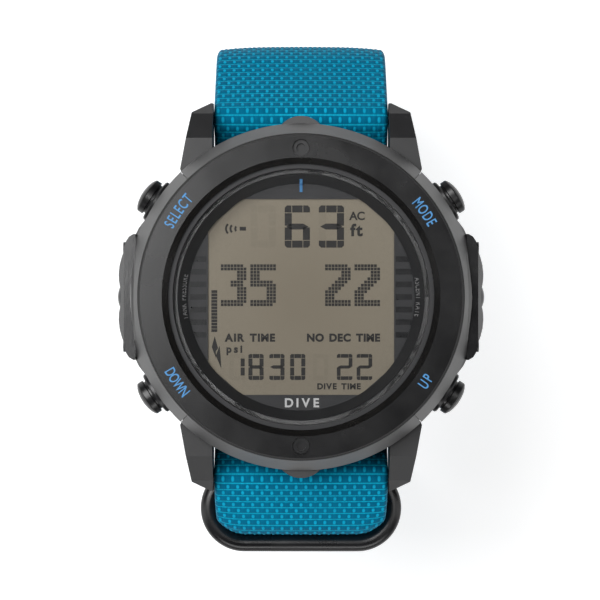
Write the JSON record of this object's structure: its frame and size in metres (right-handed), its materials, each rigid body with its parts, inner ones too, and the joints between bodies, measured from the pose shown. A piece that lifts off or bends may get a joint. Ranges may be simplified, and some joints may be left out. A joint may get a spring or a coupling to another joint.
{
  "type": "dive computer",
  "caption": "Wrist dive computer: round black case with a flat fixed bezel, digital display, push buttons and a blue woven strap with ring, buckle and keepers.",
  "frame": {"origin": "middle of the footprint, on the surface that the closed strap stands on", "axes": "+Z out of the dial, +Y towards 12 o'clock, +X towards 3 o'clock"},
  "size_m": [0.05, 0.072, 0.066],
  "materials": {
    "case_steel": "satin black coated steel",
    "lug_steel": "satin black coated steel",
    "bezel_steel": "satin black coated steel, brushed in circles",
    "cover": "satin black",
    "back_steel": "brushed stainless steel",
    "button_steel": "satin black coated steel",
    "screws": "black coated steel",
    "pin_steel": "stainless steel",
    "sensor_steel": "stainless steel",
    "cell_steel": "nickel-plated steel",
    "brass_part": "brass",
    "crystal_glass": "polished, clear",
    "gasket": "matte",
    "flange": "matte black with small printed words",
    "mask": "printed black",
    "lcd": "warm grey display with dark segments",
    "backlight": "frosted light guide",
    "module_plastic": "black moulded",
    "board": "green solder mask",
    "webbing": "woven nylon, coarse ballistic weave",
    "hardware": "satin black coated steel"
  },
  "bodies": {
    "case": {"mid_case": "case_steel", "lug_frame_top": "lug_steel", "lug_frame_bottom": "lug_steel", "side_cover_left": "cover", "side_cover_right": "cover", "side_cover_screws": "screws", "bezel": "bezel_steel", "bezel_screws": "screws", "crystal": "crystal_glass", "crystal_gasket": "gasket", "flange_ring": "flange", "dial_mask": "mask", "lcd_panel": "lcd", "lcd_backlight": "backlight", "lcd_connector": "gasket", "module_frame": "module_plastic", "circuit_board": "board", "battery": "cell_steel", "battery_clip": "cell_steel", "buzzer": "brass_part", "pressure_sensor": "sensor_steel", "case_back": "back_steel", "case_back_gasket": "gasket", "case_back_screws": "screws", "pusher_tubes": "case_steel", "pusher_seals": "gasket", "strap_pin_top": "pin_steel", "strap_pin_bottom": "pin_steel", "strap_pin_screws": "screws", "strap_main": "webbing", "strap_underlay": "webbing", "buckle_pin": "pin_steel", "keeper_fixed": "hardware", "pusher_spring_select": "cell_steel", "pusher_spring_mode": "cell_steel", "pusher_spring_down": "cell_steel", "pusher_spring_up": "cell_steel"},
    "keeper_sliding": {"keeper_sliding": "hardware"},
    "buckle_frame": {"buckle_frame": "hardware"},
    "buckle_tongue": {"buckle_tongue": "hardware"},
    "end_ring": {"end_ring": "hardware"},
    "button_select": {"pusher_select": "button_steel", "pusher_clip_select": "cell_steel"},
    "button_mode": {"pusher_mode": "button_steel", "pusher_clip_mode": "cell_steel"},
    "button_down": {"pusher_down": "button_steel", "pusher_clip_down": "cell_steel"},
    "button_up": {"pusher_up": "button_steel", "pusher_clip_up": "cell_steel"}
  },
  "joints": [
    {"name": "press_select", "type": "slide", "parent": "case", "child": "button_select", "axis": [0.8339, -0.5519, 0], "range_m": [0, 0.0009], "stiffness_N_per_m": 400, "springref_m": -0.0008, "deforming": ["pusher_spring_select"]},
    {"name": "press_mode", "type": "slide", "parent": "case", "child": "button_mode", "axis": [-0.8339, -0.5519, 0], "range_m": [0, 0.0009], "stiffness_N_per_m": 400, "springref_m": -0.0008, "deforming": ["pusher_spring_mode"]},
    {"name": "press_down", "type": "slide", "parent": "case", "child": "button_down", "axis": [0.8339, 0.5519, 0], "range_m": [0, 0.0009], "stiffness_N_per_m": 400, "springref_m": -0.0008, "deforming": ["pusher_spring_down"]},
    {"name": "press_up", "type": "slide", "parent": "case", "child": "button_up", "axis": [-0.8339, 0.5519, 0], "range_m": [0, 0.0009], "stiffness_N_per_m": 400, "springref_m": -0.0008, "deforming": ["pusher_spring_up"]},
    {"name": "keeper_slide", "type": "slide", "parent": "case", "child": "keeper_sliding", "axis": [0, 1, 0], "range_m": [-0.0012, 0.0018]},
    {"name": "buckle_turn", "type": "hinge", "parent": "case", "child": "buckle_frame", "pos_m": [0, -0.006, 0.0059], "axis": [1, 0, 0], "range_deg": [0, 5]},
    {"name": "tongue_turn", "type": "hinge", "parent": "buckle_frame", "child": "buckle_tongue", "pos_m": [0, -0.006, 0.0059], "axis": [1, 0, 0], "range_deg": [0, 8]},
    {"name": "ring_turn", "type": "hinge", "parent": "case", "child": "end_ring", "pos_m": [0, -0.02485, 0.045], "axis": [1, 0, 0], "range_deg": [-3, 8]}
  ]
}
